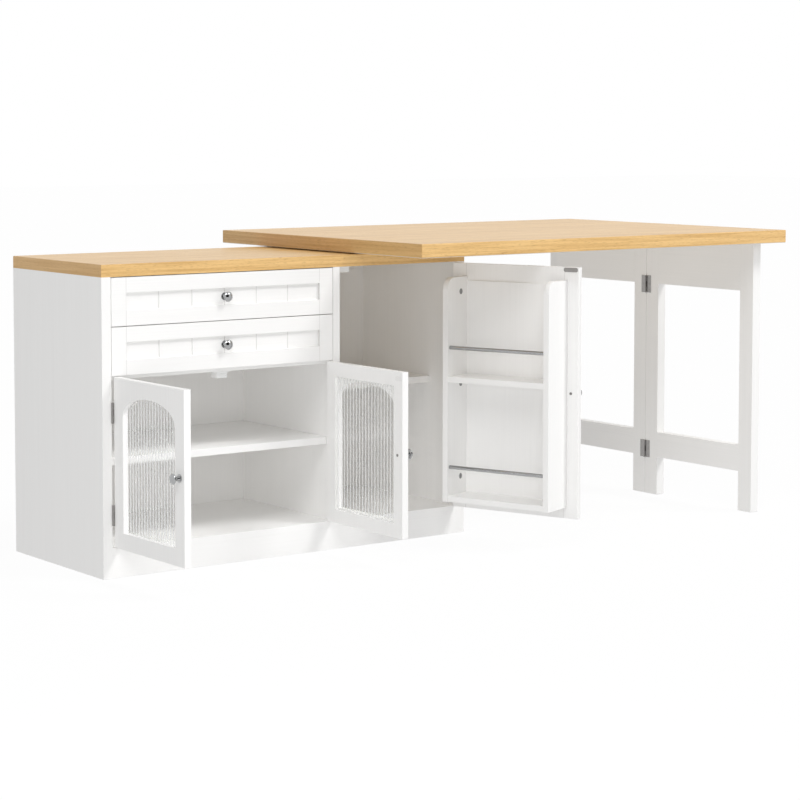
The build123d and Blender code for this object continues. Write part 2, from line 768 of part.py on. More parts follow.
bush_radius = pivot_radius + pivot_play + pivot_bush_wall
with BuildPart() as pivot_bush:
    with BuildSketch(Plane.XY.offset(table_bottom)):
        with Locations((pivot_x, table_middle)):
            Circle(bush_radius)
            Circle(pivot_radius + pivot_play, mode=Mode.SUBTRACT)
    extrude(amount=pivot_bush_length)
finish(pivot_bush, "pivot_bush")

# Table top
with BuildPart() as table_top:
    slab(
        (table_left, table_right),
        (table_front, table_front + table_width),
        (table_bottom, table_bottom + table_thickness),
    )
    chamfer(table_top.edges(), oak_edge)
    with BuildSketch(Plane.XY.offset(table_bottom)):
        with Locations((pivot_x, table_middle)):
            Circle(bush_radius + pin_hole_play)
    extrude(amount=pivot_bush_length, mode=Mode.SUBTRACT)
finish(table_top, "table_top")


def leg_leaf(name, y_low, top):
    """One half of the leg frame: two legs and the two rails between them."""
    x = (frame_face, frame_face + leg_thickness)
    y_high = y_low + leaf_width
    rail_y = (y_low + leg_width, y_high - leg_width)
    with BuildPart() as legs:
        for low in (y_low, y_high - leg_width):
            slab(x, (low, low + leg_width), (0, top))
        chamfer(legs.faces().group_by(Axis.Z)[0].edges(), leg_edge)
    finish(legs, f"{name}_legs")
    with BuildPart() as rails:
        slab(x, rail_y, (table_bottom - top_rail_height, top))
        slab(x, rail_y, (low_rail_bottom, low_rail_bottom + low_rail_height))
    finish(rails, f"{name}_rails")


# Leg frame: the far leaf is fixed to the table and the near leaf folds on it
far_leaf_front = near_leaf_front + leaf_width + leaf_gap
leg_leaf("near_leaf", near_leaf_front, table_bottom - near_leaf_drop)
leg_leaf("far_leaf", far_leaf_front, table_bottom)

leaf_reach = fold_hinge_leaf + leaf_gap / 2
plate_gap = fold_hinge_proud - hinge_leaf_thickness
far_half = butt_leaf(leaf_reach, plate_gap, (0, 2))
near_half = butt_leaf(leaf_reach, plate_gap, (1,)).mirror(Plane.XZ)
with BuildPart() as fold_fixed:
    for height in fold_hinge_centres:
        add(far_half.moved(Location((fold_line_x, fold_line_y, height))))
finish(fold_fixed, "fold_hinge_fixed_leaves")

with BuildPart() as fold_moving:
    for height in fold_hinge_centres:
        add(near_half.moved(Location((fold_line_x, fold_line_y, height))))
finish(fold_moving, "fold_hinge_moving_leaves")

with BuildPart() as fold_pins:
    for height in fold_hinge_centres:
        with BuildSketch(Plane.XY.offset(height - hinge_height / 2)):
            with Locations((fold_line_x, fold_line_y)):
                Circle(hinge_pin_radius)
        extrude(amount=hinge_height)
finish(fold_pins, "fold_hinge_pins")

# Angle brackets that hold the far leaf to the table
bracket_face = frame_face + leg_thickness
rail_span = leaf_width - 2 * leg_width
bracket_pitch = rail_span / bracket_count
with BuildPart() as brackets:
    for index in range(bracket_count):
        middle = far_leaf_front + leg_width + (index + 0.5) * bracket_pitch
        y = (middle - bracket_width / 2, middle + bracket_width / 2)
        slab(
            (bracket_face, bracket_face + bracket_size), y, (table_bottom - bracket_size, table_bottom)
        )
        slab_cut(
            (bracket_face + bracket_wall, bracket_face + bracket_size),
            y,
            (table_bottom - bracket_size, table_bottom - bracket_wall),
        )
finish(brackets, "leaf_brackets")
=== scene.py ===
# %% [markdown]
# A bar cabinet with an oak top, and an oak table that swivels out over it on a folding leg frame.
# The carcase, doors, drawers, hinges and table are already modelled at their real size and are
# loaded here as a fixed frame. This script gives every surface its finish, softens the sawn edges,
# adds the screws, and sets up the light and the camera. All lengths are in metres.

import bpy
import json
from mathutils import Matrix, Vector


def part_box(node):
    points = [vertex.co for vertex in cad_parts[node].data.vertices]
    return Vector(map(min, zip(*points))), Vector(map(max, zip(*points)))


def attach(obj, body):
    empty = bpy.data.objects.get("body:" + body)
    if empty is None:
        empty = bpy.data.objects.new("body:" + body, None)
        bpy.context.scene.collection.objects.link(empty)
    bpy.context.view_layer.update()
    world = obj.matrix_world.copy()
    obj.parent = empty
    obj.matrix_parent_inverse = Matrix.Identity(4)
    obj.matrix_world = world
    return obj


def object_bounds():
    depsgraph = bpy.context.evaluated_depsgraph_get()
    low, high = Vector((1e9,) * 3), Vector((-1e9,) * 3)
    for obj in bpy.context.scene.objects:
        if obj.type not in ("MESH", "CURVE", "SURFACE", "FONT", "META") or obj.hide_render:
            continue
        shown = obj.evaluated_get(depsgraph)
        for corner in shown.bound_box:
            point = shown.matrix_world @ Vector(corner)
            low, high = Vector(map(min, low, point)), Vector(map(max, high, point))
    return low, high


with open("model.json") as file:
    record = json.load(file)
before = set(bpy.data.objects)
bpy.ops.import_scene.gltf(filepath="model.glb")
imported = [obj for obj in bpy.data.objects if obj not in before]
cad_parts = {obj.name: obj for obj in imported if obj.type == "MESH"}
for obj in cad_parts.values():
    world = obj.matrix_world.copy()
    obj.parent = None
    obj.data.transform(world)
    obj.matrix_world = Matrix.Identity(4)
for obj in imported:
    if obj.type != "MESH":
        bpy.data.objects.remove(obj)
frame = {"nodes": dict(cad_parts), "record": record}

# %% [markdown]
# Nothing that is added here may make the furniture larger than it was built. The finished model
# could be measured by hand, but that is easily forgotten. So the two outermost corners of the whole
# model are read now, as it was built.

# %% Read the size of the model as it was built
import json
import math

import bmesh
import bpy
import numpy as np
from mathutils import Vector

MM = 0.001
built_box = [list(corner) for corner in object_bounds()]
print("the model as built spans", np.round(np.subtract(*built_box[::-1]), 4), "m")

# %% [markdown]
# The camera stands in front of the cabinet's left end, a little above the table, with a long lens.
# Such furniture could be shown with two vanishing points, by a level camera that is shifted down.
# Here it is tipped down by a few degrees instead and shifted only a little, so that the same camera
# also frames the piece from the side and from behind.

# %% Camera
camera_place = (-3.62086, -4.82332, 1.0827)
camera_tip = math.radians(4.0)  # below the horizon
camera_heading = math.radians(-36.0207)  # from square on to the front, and negative to the right
camera_lens = 102.322  # millimetres, as the sensor's width is
sensor_width = 36.0
camera_shift = (0.03364, -0.14739)

camera_data = bpy.data.cameras.new("camera")
camera_data.lens = camera_lens
camera_data.sensor_width = sensor_width
camera_data.shift_x, camera_data.shift_y = camera_shift
camera = bpy.data.objects.new("camera", camera_data)
camera.location = camera_place
camera.rotation_euler = (math.pi / 2 - camera_tip, 0.0, camera_heading)
bpy.context.scene.collection.objects.link(camera)
bpy.context.scene.camera = camera
print("camera lens", camera_lens, "mm, tipped down", round(math.degrees(camera_tip), 1), "degrees")

# %% [markdown]
# The light is that of a white studio. A white room could be built round the piece, but its walls
# would stand in the way when the camera goes round it. So the sky above the floor and the sky below
# it each have one even strength, and the lower one stands for the light that a wide white floor
# throws up. Where the camera, a mirror or glass looks at the sky it is plain white.

# %% World
upper_sky = 0.33
lower_sky = 0.74
most_bounces = 12  # light has to find its way deep into white shelves

scene = bpy.context.scene
scene.view_settings.view_transform = "Standard"
scene.cycles.diffuse_bounces = most_bounces


def seen_directly(nodes, links):
    """1 for rays from the camera, from mirrors and through glass, and 0 for the rest.

    The largest of the Light Path's three numbers Is Camera Ray, Is Glossy Ray and Is
    Transmission Ray.
    """
    path = nodes.new("ShaderNodeLightPath")
    value = path.outputs["Is Camera Ray"]
    for name in ("Is Glossy Ray", "Is Transmission Ray"):
        largest = nodes.new("ShaderNodeMath")
        largest.operation = "MAXIMUM"
        links.new(value, largest.inputs[0])
        links.new(path.outputs[name], largest.inputs[1])
        value = largest.outputs[0]
    return value


world = bpy.data.worlds.new("studio")
world.use_nodes = True
scene.world = world
nodes, links = world.node_tree.nodes, world.node_tree.links
background = nodes["Background"]
background.inputs["Color"].default_value = (1.0, 1.0, 1.0, 1.0)
direction = nodes.new("ShaderNodeSeparateXYZ")
links.new(nodes.new("ShaderNodeTexCoord").outputs["Generated"], direction.inputs[0])
above = nodes.new("ShaderNodeMath")
above.operation = "GREATER_THAN"
above.inputs[1].default_value = 0.0
links.new(direction.outputs["Z"], above.inputs[0])
strength = nodes.new("ShaderNodeMapRange")
strength.inputs["To Min"].default_value = lower_sky
strength.inputs["To Max"].default_value = upper_sky
links.new(above.outputs[0], strength.inputs["Value"])
shown = nodes.new("ShaderNodeMix")
shown.inputs["B"].default_value = 1.0
links.new(seen_directly(nodes, links), shown.inputs["Factor"])
links.new(strength.outputs["Result"], shown.inputs["A"])
links.new(shown.outputs["Result"], background.inputs["Strength"])
print("sky strength above", upper_sky, "and below", lower_sky)

# %% [markdown]
# Two soft lights stand high to the left and right of the camera, and two smaller ones lower down put
# light into the open shelves. Area lamps could do all four, but a far one would need a huge size and
# power, so the high ones are suns, whose light is even all over. The right one is the narrower, so
# that the knobs and the table top cast a soft shadow that can still be seen.

# %% Lamps
piece_middle = Vector((-0.3, -0.2, 0.5))
disc_width = 1.2
suns = {  # height and compass direction in degrees, share of a full white's light, width in degrees
    "high_left": (50.0, 225.0, 0.28, 35.0),
    "high_right": (50.0, 315.0, 0.42, 15.0),
}
discs = {  # place, share of a full white's light at the middle of the piece
    "low_left": ((-1.8, -2.2, 0.5), 0.18),
    "low_right": ((1.8, -2.2, 1.5), 0.11),
}


def direction_of(height, compass):
    """The unit vector that points up by height and round by compass, both in degrees."""
    up, turn = math.radians(height), math.radians(compass)
    return Vector((math.cos(up) * math.cos(turn), math.cos(up) * math.sin(turn), math.sin(up)))


def place_lamp(name, kind, place, energy):
    """A lamp at a place, turned to the middle of the piece and hidden from the camera."""
    data = bpy.data.lights.new(name, kind)
    data.energy = energy
    lamp = bpy.data.objects.new(name, data)
    lamp.location = place
    lamp.rotation_mode = "QUATERNION"
    lamp.rotation_quaternion = (piece_middle - Vector(place)).to_track_quat("-Z", "Y")
    lamp.visible_camera = False
    scene.collection.objects.link(lamp)
    return lamp


for name, (height, compass, share, width) in suns.items():
    # a sun of energy pi lights a surface that faces it as a sky of strength 1 does
    place = piece_middle + direction_of(height, compass)
    place_lamp(name, "SUN", place, math.pi * share).data.angle = math.radians(width)
for name, (place, share) in discs.items():
    # and so does a disc of pi squared watts for each square metre of distance squared
    power = math.pi**2 * (piece_middle - Vector(place)).length_squared * share
    disc = place_lamp(name, "AREA", place, power)
    disc.data.shape = "DISK"
    disc.data.size = disc_width
    disc.visible_glossy = False
print(len(suns) + len(discs), "lamps")

# %% [markdown]
# Every new shape in this script is a grid of points worked out by a formula. One helper turns such
# a grid into a mesh. It could add faces one at a time, but building the whole index array at once is
# shorter and quicker, and it takes several equal grids at a time for pieces that repeat.

# %% Grid helper
same_place = 0.002 * MM  # points nearer to each other than this are one point


def mesh_of_grids(name, grids):
    """A mesh from equal grids of points.

    grids holds copies x rows x columns x 3 numbers. Each cell of four neighbouring points becomes
    a face. Points that coincide are merged, and the faces are then turned outwards.
    """
    copies, rows, columns, _ = grids.shape
    index = np.arange(copies * rows * columns).reshape(copies, rows, columns)
    corners = (index[:, :-1, :-1], index[:, :-1, 1:], index[:, 1:, 1:], index[:, 1:, :-1])
    faces = np.stack(corners, axis=-1).reshape(-1, 4)
    mesh = bpy.data.meshes.new(name)
    mesh.from_pydata(grids.reshape(-1, 3).tolist(), [], faces.tolist())
    shape = bmesh.new()
    shape.from_mesh(mesh)
    bmesh.ops.remove_doubles(shape, verts=shape.verts, dist=same_place)
    bmesh.ops.recalc_face_normals(shape, faces=shape.faces)
    shape.to_mesh(mesh)
    shape.free()
    piece = bpy.data.objects.new(name, mesh)
    bpy.context.scene.collection.objects.link(piece)
    return piece


print("grid points within", round(same_place / MM, 4), "mm of each other are merged")

# %% [markdown]
# The floor is plain white and shows only a breath of shadow under the furniture. It could be pure
# light, but then nothing would stand on it. So its material is mostly white light where it is seen
# directly and partly a plain matt white, which keeps the shadow. Its light on the furniture comes
# from the lower sky instead. For that the floor is hidden from the rays that gather light for matt
# surfaces, and from shadow rays, which would otherwise stop at it on their way to the sky.

# %% Floor
floor_reach = 30.0
floor_glow = 0.95
floor_white = (0.95, 0.95, 0.95, 1.0)

middle = np.mean(built_box, axis=0)
floor_grid = np.zeros((1, 2, 2, 3))
floor_grid[..., 0] = middle[0] + floor_reach * np.array([[-1, 1], [-1, 1]])
floor_grid[..., 1] = middle[1] + floor_reach * np.array([[-1, -1], [1, 1]])
floor = mesh_of_grids("studio_floor", floor_grid)
floor.visible_diffuse = False
floor.visible_shadow = False

material = bpy.data.materials.new("studio_white")
material.use_nodes = True
nodes, links = material.node_tree.nodes, material.node_tree.links
matt = nodes["Principled BSDF"]
matt.inputs["Base Color"].default_value = floor_white
matt.inputs["Roughness"].default_value = 1.0
glow = nodes.new("ShaderNodeEmission")
glow.inputs["Strength"].default_value = 1.0
glow_share = nodes.new("ShaderNodeMath")
glow_share.operation = "MULTIPLY"
glow_share.inputs[1].default_value = floor_glow
blend = nodes.new("ShaderNodeMixShader")
links.new(seen_directly(nodes, links), glow_share.inputs[0])
links.new(glow_share.outputs[0], blend.inputs["Fac"])
links.new(matt.outputs["BSDF"], blend.inputs[1])
links.new(glow.outputs["Emission"], blend.inputs[2])
links.new(blend.outputs["Shader"], nodes["Material Output"].inputs["Surface"])
floor.data.materials.append(material)
print("floor", 2 * floor_reach, "m square")

# %% [markdown]
# Chrome has no colour of its own and only shows what stands round it. In an all-white room it would
# look like chalk, so photographers stand a dark card beside the camera, and its small dark image in
# each knob makes the metal read as metal. The card is seen by mirrors only and lights nothing.

# %% Dark card for the chrome
card_height = 18.0  # degrees above the floor, as the lamps' heights are
card_compass = 250.0
card_distance = 4.0
card_width = 4.2
card_black = (0.01, 0.01, 0.01, 1.0)

towards = np.array(direction_of(card_height, card_compass))
across = np.cross((0.0, 0.0, 1.0), towards)
across /= np.linalg.norm(across)
sides, rises = np.meshgrid((-0.5, 0.5), (-0.5, 0.5))
card_grid = np.array(piece_middle) + card_distance * towards
card_grid = card_grid + card_width * sides[..., None] * across
card_grid = card_grid + card_width * rises[..., None] * np.cross(towards, across)
card = mesh_of_grids("dark_card", card_grid[None])
card.visible_camera = False
card.visible_diffuse = False
card.visible_transmission = False
card.visible_shadow = False
material = bpy.data.materials.new("card_black")
material.use_nodes = True
matt = material.node_tree.nodes["Principled BSDF"]
matt.inputs["Base Color"].default_value = card_black
matt.inputs["Roughness"].default_value = 1.0
card.data.materials.append(material)
print("dark card", card_width, "m square,", card_distance, "m away")

# %% [markdown]
# Wood, lacquer and metal are all made from the same few steps: stretch the piece's own coordinates
# to the size of the grain, read a noise there, and let it move the colour, the gloss and the height
# of the surface a little. A small class keeps those steps short. An image of real wood could do the
# same, but a formula has no seams and its grain runs right through every edge.

# %% Steps that the finishes share
zero_to_one = (0.0, 1.0)
usual_noise = (0.3, 0.7)  # most of a noise's values lie between these
in_metres = (1.0, 1.0, 1.0)  # a grain size that leaves coordinates as they are


class Finish:
    """A material in the making, with short ways to add the nodes that the finishes here use."""

    def __init__(self, name):
        self.material = bpy.data.materials.new(name)
        self.material.use_nodes = True
        self.nodes = self.material.node_tree.nodes
        self.links = self.material.node_tree.links
        self.shader = self.nodes["Principled BSDF"]

    def constant(self, **values):
        """Set numbers that are the same all over, by the socket's name with _ for a space."""
        for name, value in values.items():
            self.shader.inputs[name.replace("_", " ")].default_value = value

    def place(self, size, turn=0.0, source=None):
        """The piece's own coordinates, turned about the upright axis and measured in grains.

        size is the length, width and height of one grain. The Mapping node's Texture kind turns
        first and then divides by the size.
        """
        mapping = self.nodes.new("ShaderNodeMapping")
        mapping.vector_type = "TEXTURE"
        mapping.inputs["Rotation"].default_value = (0.0, 0.0, turn)
        mapping.inputs["Scale"].default_value = size
        if source is None:
            source = self.nodes.new("ShaderNodeTexCoord").outputs["Object"]
        self.links.new(source, mapping.inputs["Vector"])
        return mapping.outputs["Vector"]

    def split(self, vector):
        """The X, Y and Z of a vector, as three values."""
        separate = self.nodes.new("ShaderNodeSeparateXYZ")
        self.links.new(vector, separate.inputs[0])
        return tuple(separate.outputs)

    def noise(self, where, detail=2.0, distortion=0.0):
        """A smooth random number from 0 to 1 at each place, with finer noise added detail times."""
        texture = self.nodes.new("ShaderNodeTexNoise")
        texture.inputs["Scale"].default_value = 1.0
        texture.inputs["Detail"].default_value = detail
        texture.inputs["Distortion"].default_value = distortion
        self.links.new(where, texture.inputs["Vector"])
        return texture.outputs["Fac"]

    def spread(self, value, source, result):
        """The value, where the pair source becomes the pair result and nothing goes past either."""
        scaled = self.nodes.new("ShaderNodeMapRange")
        for name, number in zip(("From Min", "From Max", "To Min", "To Max"), (*source, *result)):
            scaled.inputs[name].default_value = number
        self.links.new(value, scaled.inputs["Value"])
        return scaled.outputs["Result"]

    def combine(self, operation, first, second=0.0):
        """Arithmetic on one or two values, any of which may be a plain number."""
        arithmetic = self.nodes.new("ShaderNodeMath")
        arithmetic.operation = operation
        for socket, value in zip(arithmetic.inputs, (first, second)):
            if isinstance(value, (int, float)):
                socket.default_value = value
            else:
                self.links.new(value, socket)
        return arithmetic.outputs[0]

    def mix(self, kind, share, first, second):
        """From the first to the second as the share goes from 0 to 1.

        The kind is RGBA for colours, which may be three plain numbers, and VECTOR for places.
        """
        mixed = self.nodes.new("ShaderNodeMix")
        mixed.data_type = kind
        self.links.new(share, mixed.inputs["Factor"])
        for name, value in (("A", first), ("B", second)):
            socket = next(s for s in mixed.inputs if s.name == name and s.type == kind)
            if isinstance(value, tuple):
                socket.default_value = (*value, 1.0)
            else:
                self.links.new(value, socket)
        return next(s for s in mixed.outputs if s.type == kind)

    def tint(self, share, first, second):
        """A colour between two, either of which may be the result of another tint."""
        return self.mix("RGBA", share, first, second)

    def use(self, colour=None, roughness=None, height=None, depth=0.0):
        """Connect what was mixed to the shader; depth is the bump's real height in metres."""
        for name, socket in (("Base Color", colour), ("Roughness", roughness)):
            if socket is not None:
                self.links.new(socket, self.shader.inputs[name])
        if height is not None:
            bump = self.nodes.new("ShaderNodeBump")
            bump.inputs["Strength"].default_value = 1.0
            bump.inputs["Distance"].default_value = depth
            self.links.new(height, bump.inputs["Height"])
            self.links.new(bump.outputs["Normal"], self.shader.inputs["Normal"])
        return self.material


print("the gloss of most finishes follows a noise from", usual_noise[0], "to", usual_noise[1])

# %% [markdown]
# The white parts are fibreboard with a satin white face that has a faint straight grain pressed into
# it. Real faces like this are printed and embossed together, so colour, gloss and height all come
# from the one grain. One finish could do for all, but the grain runs the long way of each board. So
# it is made once for each direction, and once turned with the rack that stands open on the tall
# door. The back panel is thinner board with a slightly greyer face.

# %% White lacquer
board_white = (0.93, 0.925, 0.915)
panel_white = (0.9, 0.895, 0.885)
fine_grain = (300.0 * MM, 3.5 * MM)  # length and width
broad_grain = (900.0 * MM, 60.0 * MM)
grain_seen = (0.35, 0.75)  # of the fine noise: where the grain begins to show and where it is full
grain_shade = 0.955  # of the white, where the grain is darkest
lacquer_roughness = (0.36, 0.48)
lacquer_relief = 0.03 * MM


def along(direction, length, width):
    """Grain sizes for X, Y and Z with the length on the axis that is named."""
    return tuple(length if axis == direction else width for axis in "XYZ")


def white_lacquer(name, direction, turn=0.0, white=board_white, routed=None):
    """Satin white with a faint grain along one direction, and painted shade in the grooves and grey
    joint lines where a front is routed.

    routed is a function that adds that painted shade and those lines: it takes the finish and the
    colour so far.
    """
    finish = Finish(name)
    finish.constant(Specular_IOR_Level=0.4)
    fine = finish.noise(finish.place(along(direction, *fine_grain), turn), detail=3.0)
    broad = finish.noise(finish.place(along(direction, *broad_grain), turn), detail=1.0)
    grain = finish.combine("MULTIPLY", finish.spread(fine, grain_seen, zero_to_one), broad)
    colour = finish.tint(grain, white, tuple(channel * grain_shade for channel in white))
    if routed:
        colour = routed(finish, colour)
    roughness = finish.spread(fine, usual_noise, lacquer_roughness)
    return finish.use(colour, roughness, fine, depth=lacquer_relief)


tall_door_turn = math.radians(110.0)
upright_white = white_lacquer("white_grain_upright", "Z")
long_white = white_lacquer("white_grain_along_cabinet", "X")
deep_white = white_lacquer("white_grain_front_to_back", "Y")
rack_white = white_lacquer("white_grain_on_tall_door", "X", tall_door_turn)
back_white = white_lacquer("white_panel_upright", "Z", white=panel_white)
print("5 white lacquers, with a grain", round(fine_grain[1] / MM, 1), "mm wide")

# %% [markdown]
# The drawer fronts and the tall door are routed: a recessed panel with V grooves, inside a frame
# whose stiles and rails meet in a fine line. Each groove should read as a thin grey line of shade.
# The grooves are real shapes already, but light as soft as this one fills them, so the finish also
# paints their shade in, greyer by their depth. The joint lines are drawn by their distance from the
# front's middle.

# %% Routed fronts
stile_width = 40.0 * MM
recess_depth = 6.0 * MM
groove_depth = 1.5 * MM
groove_shade = (0.15, 0.7)  # of the groove's depth: where the painted shade begins and where it is full
groove_limit = 1.2  # of the groove's depth: whatever lies deeper is not in a groove
joint_width = 0.9 * MM
joint_core = 0.2  # of the joint's width, within which the grey is full
# painted shade: the grey that the grooves' floors take, standing in for the shade that falls in them
painted_groove_shade = (0.72, 0.71, 0.695)
joint_grey = (0.70, 0.69, 0.675)


def routed_lines(outer_face, middle, width, turn=0.0):
    """A function that adds the grooves' painted shade and the joints' grey to a front.

    outer_face and middle are places along the front's own depth and width, after the turn. The
    grooves are found by their depth below the outer face, and the two joints by how far they lie
    from the middle, which is half the width less a stile.
    """
    shaded_depths = [recess_depth + share * groove_depth for share in groove_shade]

    def add(finish, colour):
        sideways, inwards, _ = finish.split(finish.place(in_metres, turn))
        depth = finish.combine("SUBTRACT", inwards, outer_face)
        # painted shade: the grooves' floors turn grey with their depth
        painted_groove_share = finish.spread(depth, shaded_depths, zero_to_one)
        before_back = finish.combine("LESS_THAN", depth, recess_depth + groove_limit * groove_depth)
        painted_groove_share = finish.combine("MULTIPLY", painted_groove_share, before_back)
        off_middle = finish.combine("ABSOLUTE", finish.combine("SUBTRACT", sideways, middle))
        off_joint = finish.combine("SUBTRACT", off_middle, width / 2 - stile_width)
        off_joint = finish.combine("ABSOLUTE", off_joint)
        on_joint = finish.spread(off_joint, (joint_core * joint_width, joint_width), (1.0, 0.0))
        return finish.tint(painted_groove_share, finish.tint(on_joint, colour, joint_grey), painted_groove_shade)

    return add


def routed_white(name, direction, node, turn=0.0):
    """White lacquer for a routed front, whose face and width are read in its own turned axes."""
    mesh = frame["nodes"][node].data
    points = np.empty(len(mesh.vertices) * 3)
    mesh.vertices.foreach_get("co", points)
    points = points.reshape(-1, 3)
    sideways = points[:, 0] * math.cos(turn) + points[:, 1] * math.sin(turn)
    depth = points[:, 1] * math.cos(turn) - points[:, 0] * math.sin(turn)
    middle, width = (sideways.min() + sideways.max()) / 2, np.ptp(sideways)
    print(node, round(width / MM, 1), "mm wide")
    lines = routed_lines(float(depth.min()), float(middle), float(width), turn)
    return white_lacquer(name, direction, turn, routed=lines)


drawer_white = routed_white("white_routed_drawers", "X", "upper_drawer_front")
tall_white = routed_white("white_routed_tall_door", "Z", "tall_door_panel", tall_door_turn)

# %% [markdown]
# The two boards are oak with a clear matt finish. Oak has long pale and dark bands, fine lines and
# short open pores, all along the grain. The broad faces and the long edges show it along the board.
# The short edges carry a strip of their own whose grain runs the other way and which is darker, and
# the underside has a dull backing. Each face could have a material of its own, but the surface's own
# direction can pick the grain and the colour within one.

# %% Oak
oak_pale = (0.84, 0.555, 0.235)
oak_dark = (0.62, 0.365, 0.12)
oak_pore = (0.40, 0.205, 0.06)
oak_backing = (0.76, 0.70, 0.61)
band_size = (1400.0 * MM, 50.0 * MM, 30.0 * MM)  # along the grain, across it and through the board
line_size = (220.0 * MM, 6.0 * MM, 4.5 * MM)
pore_size = (18.0 * MM, 0.9 * MM, 0.9 * MM)
band_seen = (0.35, 0.65)  # of the noise: where the darker colour begins and where it is strongest
line_seen = (0.40, 0.66)
pore_seen = (0.60, 0.70)
band_strength = 0.3
line_strength = 0.7
pore_strength = 0.6
short_edge_strength = 0.35  # of the pores' colour, over the whole strip
backing_strength = 0.9
oak_roughness = (0.30, 0.40)
oak_relief = 0.04 * MM
facing_limit = 0.7  # of a unit normal: nearer to the axis than about 45 degrees


def oak_faces(finish):
    """Where a point lies in the grain, and 1 or 0 for a short edge and for the underside.

    Short edges are the faces that look along X. There the coordinates are turned a quarter round
    about the upright axis, which lays the grain along Y.
    """
    coordinates = finish.nodes.new("ShaderNodeTexCoord")
    turned = finish.nodes.new("ShaderNodeVectorRotate")
    turned.rotation_type = "Z_AXIS"
    turned.inputs["Angle"].default_value = math.pi / 2
    finish.links.new(coordinates.outputs["Object"], turned.inputs["Vector"])
    sideways, _, upwards = finish.split(coordinates.outputs["Normal"])
    on_end = finish.combine("GREATER_THAN", finish.combine("ABSOLUTE", sideways), facing_limit)
    underneath = finish.combine("LESS_THAN", upwards, -facing_limit)
    where = finish.mix("VECTOR", on_end, coordinates.outputs["Object"], turned.outputs["Vector"])
    return where, on_end, underneath


def oak_board():
    """Oak with bands, lines and pores along X, or along Y on the faces that look along X."""
    finish = Finish("clear_oak")
    finish.constant(Specular_IOR_Level=0.5)
    where, on_end, underneath = oak_faces(finish)
    bands = finish.noise(finish.place(band_size, source=where), detail=2.0, distortion=0.3)
    lines = finish.noise(finish.place(line_size, source=where), detail=4.0, distortion=0.2)
    pores = finish.noise(finish.place(pore_size, source=where), detail=1.0)
    band_shade = finish.spread(bands, band_seen, (0.0, band_strength))
    line_shade = finish.spread(lines, line_seen, (0.0, line_strength))
    shade = finish.combine("ADD", band_shade, line_shade)
    open_pores = finish.spread(pores, pore_seen, (0.0, pore_strength))
    edge_share = finish.combine("MULTIPLY", on_end, short_edge_strength)
    backing_share = finish.combine("MULTIPLY", underneath, backing_strength)
    colour = finish.tint(open_pores, finish.tint(shade, oak_pale, oak_dark), oak_pore)
    colour = finish.tint(edge_share, colour, oak_pore)
    colour = finish.tint(backing_share, colour, oak_backing)
    roughness = finish.spread(lines, usual_noise, oak_roughness)
    height = finish.combine("SUBTRACT", lines, open_pores)
    return finish.use(colour, roughness, height, depth=oak_relief)


oak = oak_board()
print("oak made, with pores", round(pore_size[0] / MM, 1), "mm long")

# %% [markdown]
# The door panes are reeded glass, and the flutes are real shapes in the panes. Each ridge of real
# reeded glass also carries a bright line, where it throws the light of the room towards the eye. Real
# glass's strong bending could make that line, but it needs very many light paths and would hide the
# arch behind the pane. So the glass bends little, and a painted highlight follows each ridge instead:
# a pale line where part of the glass is matt white. Clear glass casts hardly any shadow, so the panes
# are also hidden from shadow rays and from the rays that carry light between matt surfaces. With them
# in the way the shelves behind come out darker.

# %% Glass
flute_count = 19
ridge_line = (0.12, 0.25)  # of a flute from its ridge: where the painted highlight begins to fade and ends
ridge_highlight_share = 0.7  # share of the glass that the painted highlight turns matt white at a ridge
glass_tint = (0.985, 0.99, 0.985, 1.0)
glass_bending = 1.05  # refractive index, which is about 1.5 for real glass
glass_wave = (40.0 * MM, 40.0 * MM, 90.0 * MM)
glass_roughness = (0.0, 0.03)


def reeded_glass():
    """Reeded glass that bends little, with a painted highlight, a pale line, along the ridge of each
    flute.

    The doors stand square to the cabinet, so the flutes follow each other along Y. A ping-pong of
    Y gives the distance from the nearest ridge. Both panes have their flutes on the door's outer
    face, which is the one that lies further along X from the middle between the panes.
    """
    left_low, left_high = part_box("left_door_glass")
    right_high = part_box("right_door_glass")[1]
    flute = (left_high[1] - left_low[1]) / flute_count
    middle = (left_low[0] + right_high[0]) / 2
    outer_half = right_high[0] - middle - (left_high[0] - left_low[0]) / 2
    line_ends = [share * flute for share in ridge_line]
    finish = Finish("reeded_glass")
    finish.constant(Base_Color=glass_tint, IOR=glass_bending)
    finish.constant(Coat_Weight=1.0, Coat_Roughness=0.05)
    x, y, _ = finish.split(finish.place(in_metres))
    from_first = finish.combine("SUBTRACT", y, left_low[1] + flute / 2)
    off_ridge = finish.combine("PINGPONG", from_first, flute / 2)
    # painted highlight: a pale matt line in place of clear glass along each ridge
    painted_ridge_highlight = finish.spread(off_ridge, line_ends, (ridge_highlight_share, 0.0))
    off_middle = finish.combine("ABSOLUTE", finish.combine("SUBTRACT", x, middle))
    on_flutes = finish.combine("GREATER_THAN", off_middle, outer_half)
    clear = finish.combine("SUBTRACT", 1.0, finish.combine("MULTIPLY", painted_ridge_highlight, on_flutes))
    finish.links.new(clear, finish.shader.inputs["Transmission Weight"])
    wave = finish.noise(finish.place(glass_wave), detail=1.0)
    return finish.use(roughness=finish.spread(wave, usual_noise, glass_roughness))


glass = reeded_glass()
for node in ("left_door_glass", "right_door_glass"):
    frame["nodes"][node].visible_diffuse = False
    frame["nodes"][node].visible_shadow = False
print("reeded glass with", flute_count, "flutes to a pane")

# %% [markdown]
# The knobs and the rack's rods are polished chrome, and the hinges, pins, runners and brackets are
# zinc-plated steel. Both could be a plain mirror. But hands leave a faint haze on chrome, and rolled
# sheet shows fine lines and clouds, which keep a large flat plate from looking like paper.

